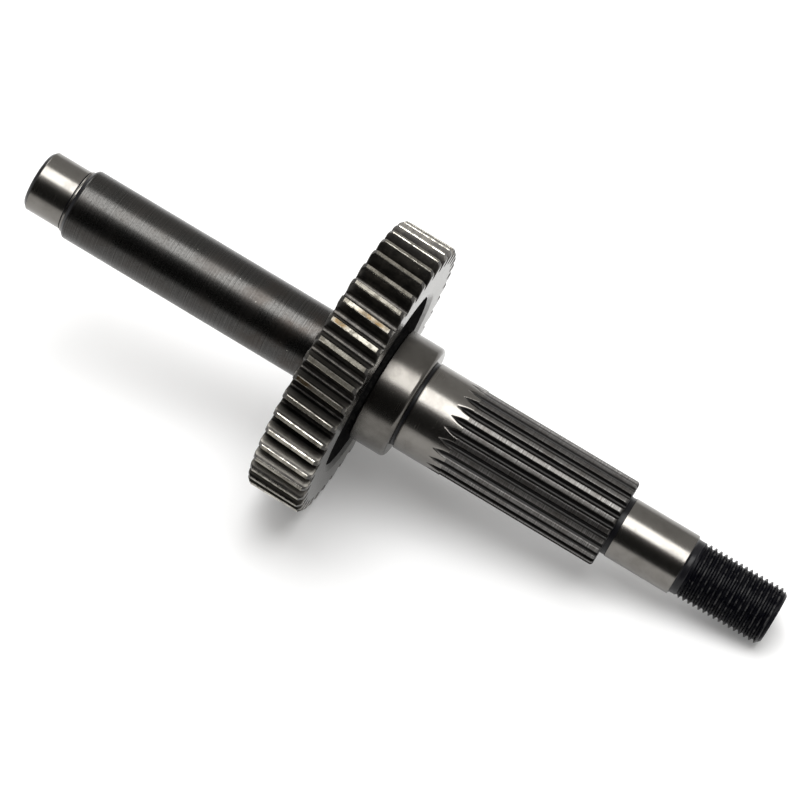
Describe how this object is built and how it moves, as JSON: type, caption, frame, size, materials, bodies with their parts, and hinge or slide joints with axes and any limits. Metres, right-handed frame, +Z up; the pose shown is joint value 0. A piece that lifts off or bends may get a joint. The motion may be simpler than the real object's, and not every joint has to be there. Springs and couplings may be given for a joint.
{
  "type": "transmission output shaft",
  "caption": "One-piece steel gearbox output shaft with ground journals, a helical gear, an involute spline and a fine thread at one end.",
  "frame": {"origin": "on the surface that the shaft lies on, below the middle of its box", "axes": "+X along the shaft as seen from above, towards the threaded end; +Z up. The shaft's own axis leans 15 degrees, threaded end low, because it rests on two gear teeth and on the threaded end"},
  "size_m": [0.2172, 0.079, 0.0799],
  "materials": {
    "shaft_steel": "ground bright on the journals and the collar, dark turned or oxide-dark everywhere else"
  },
  "bodies": {
    "root": {"output_shaft": "shaft_steel"}
  },
  "joints": []
}
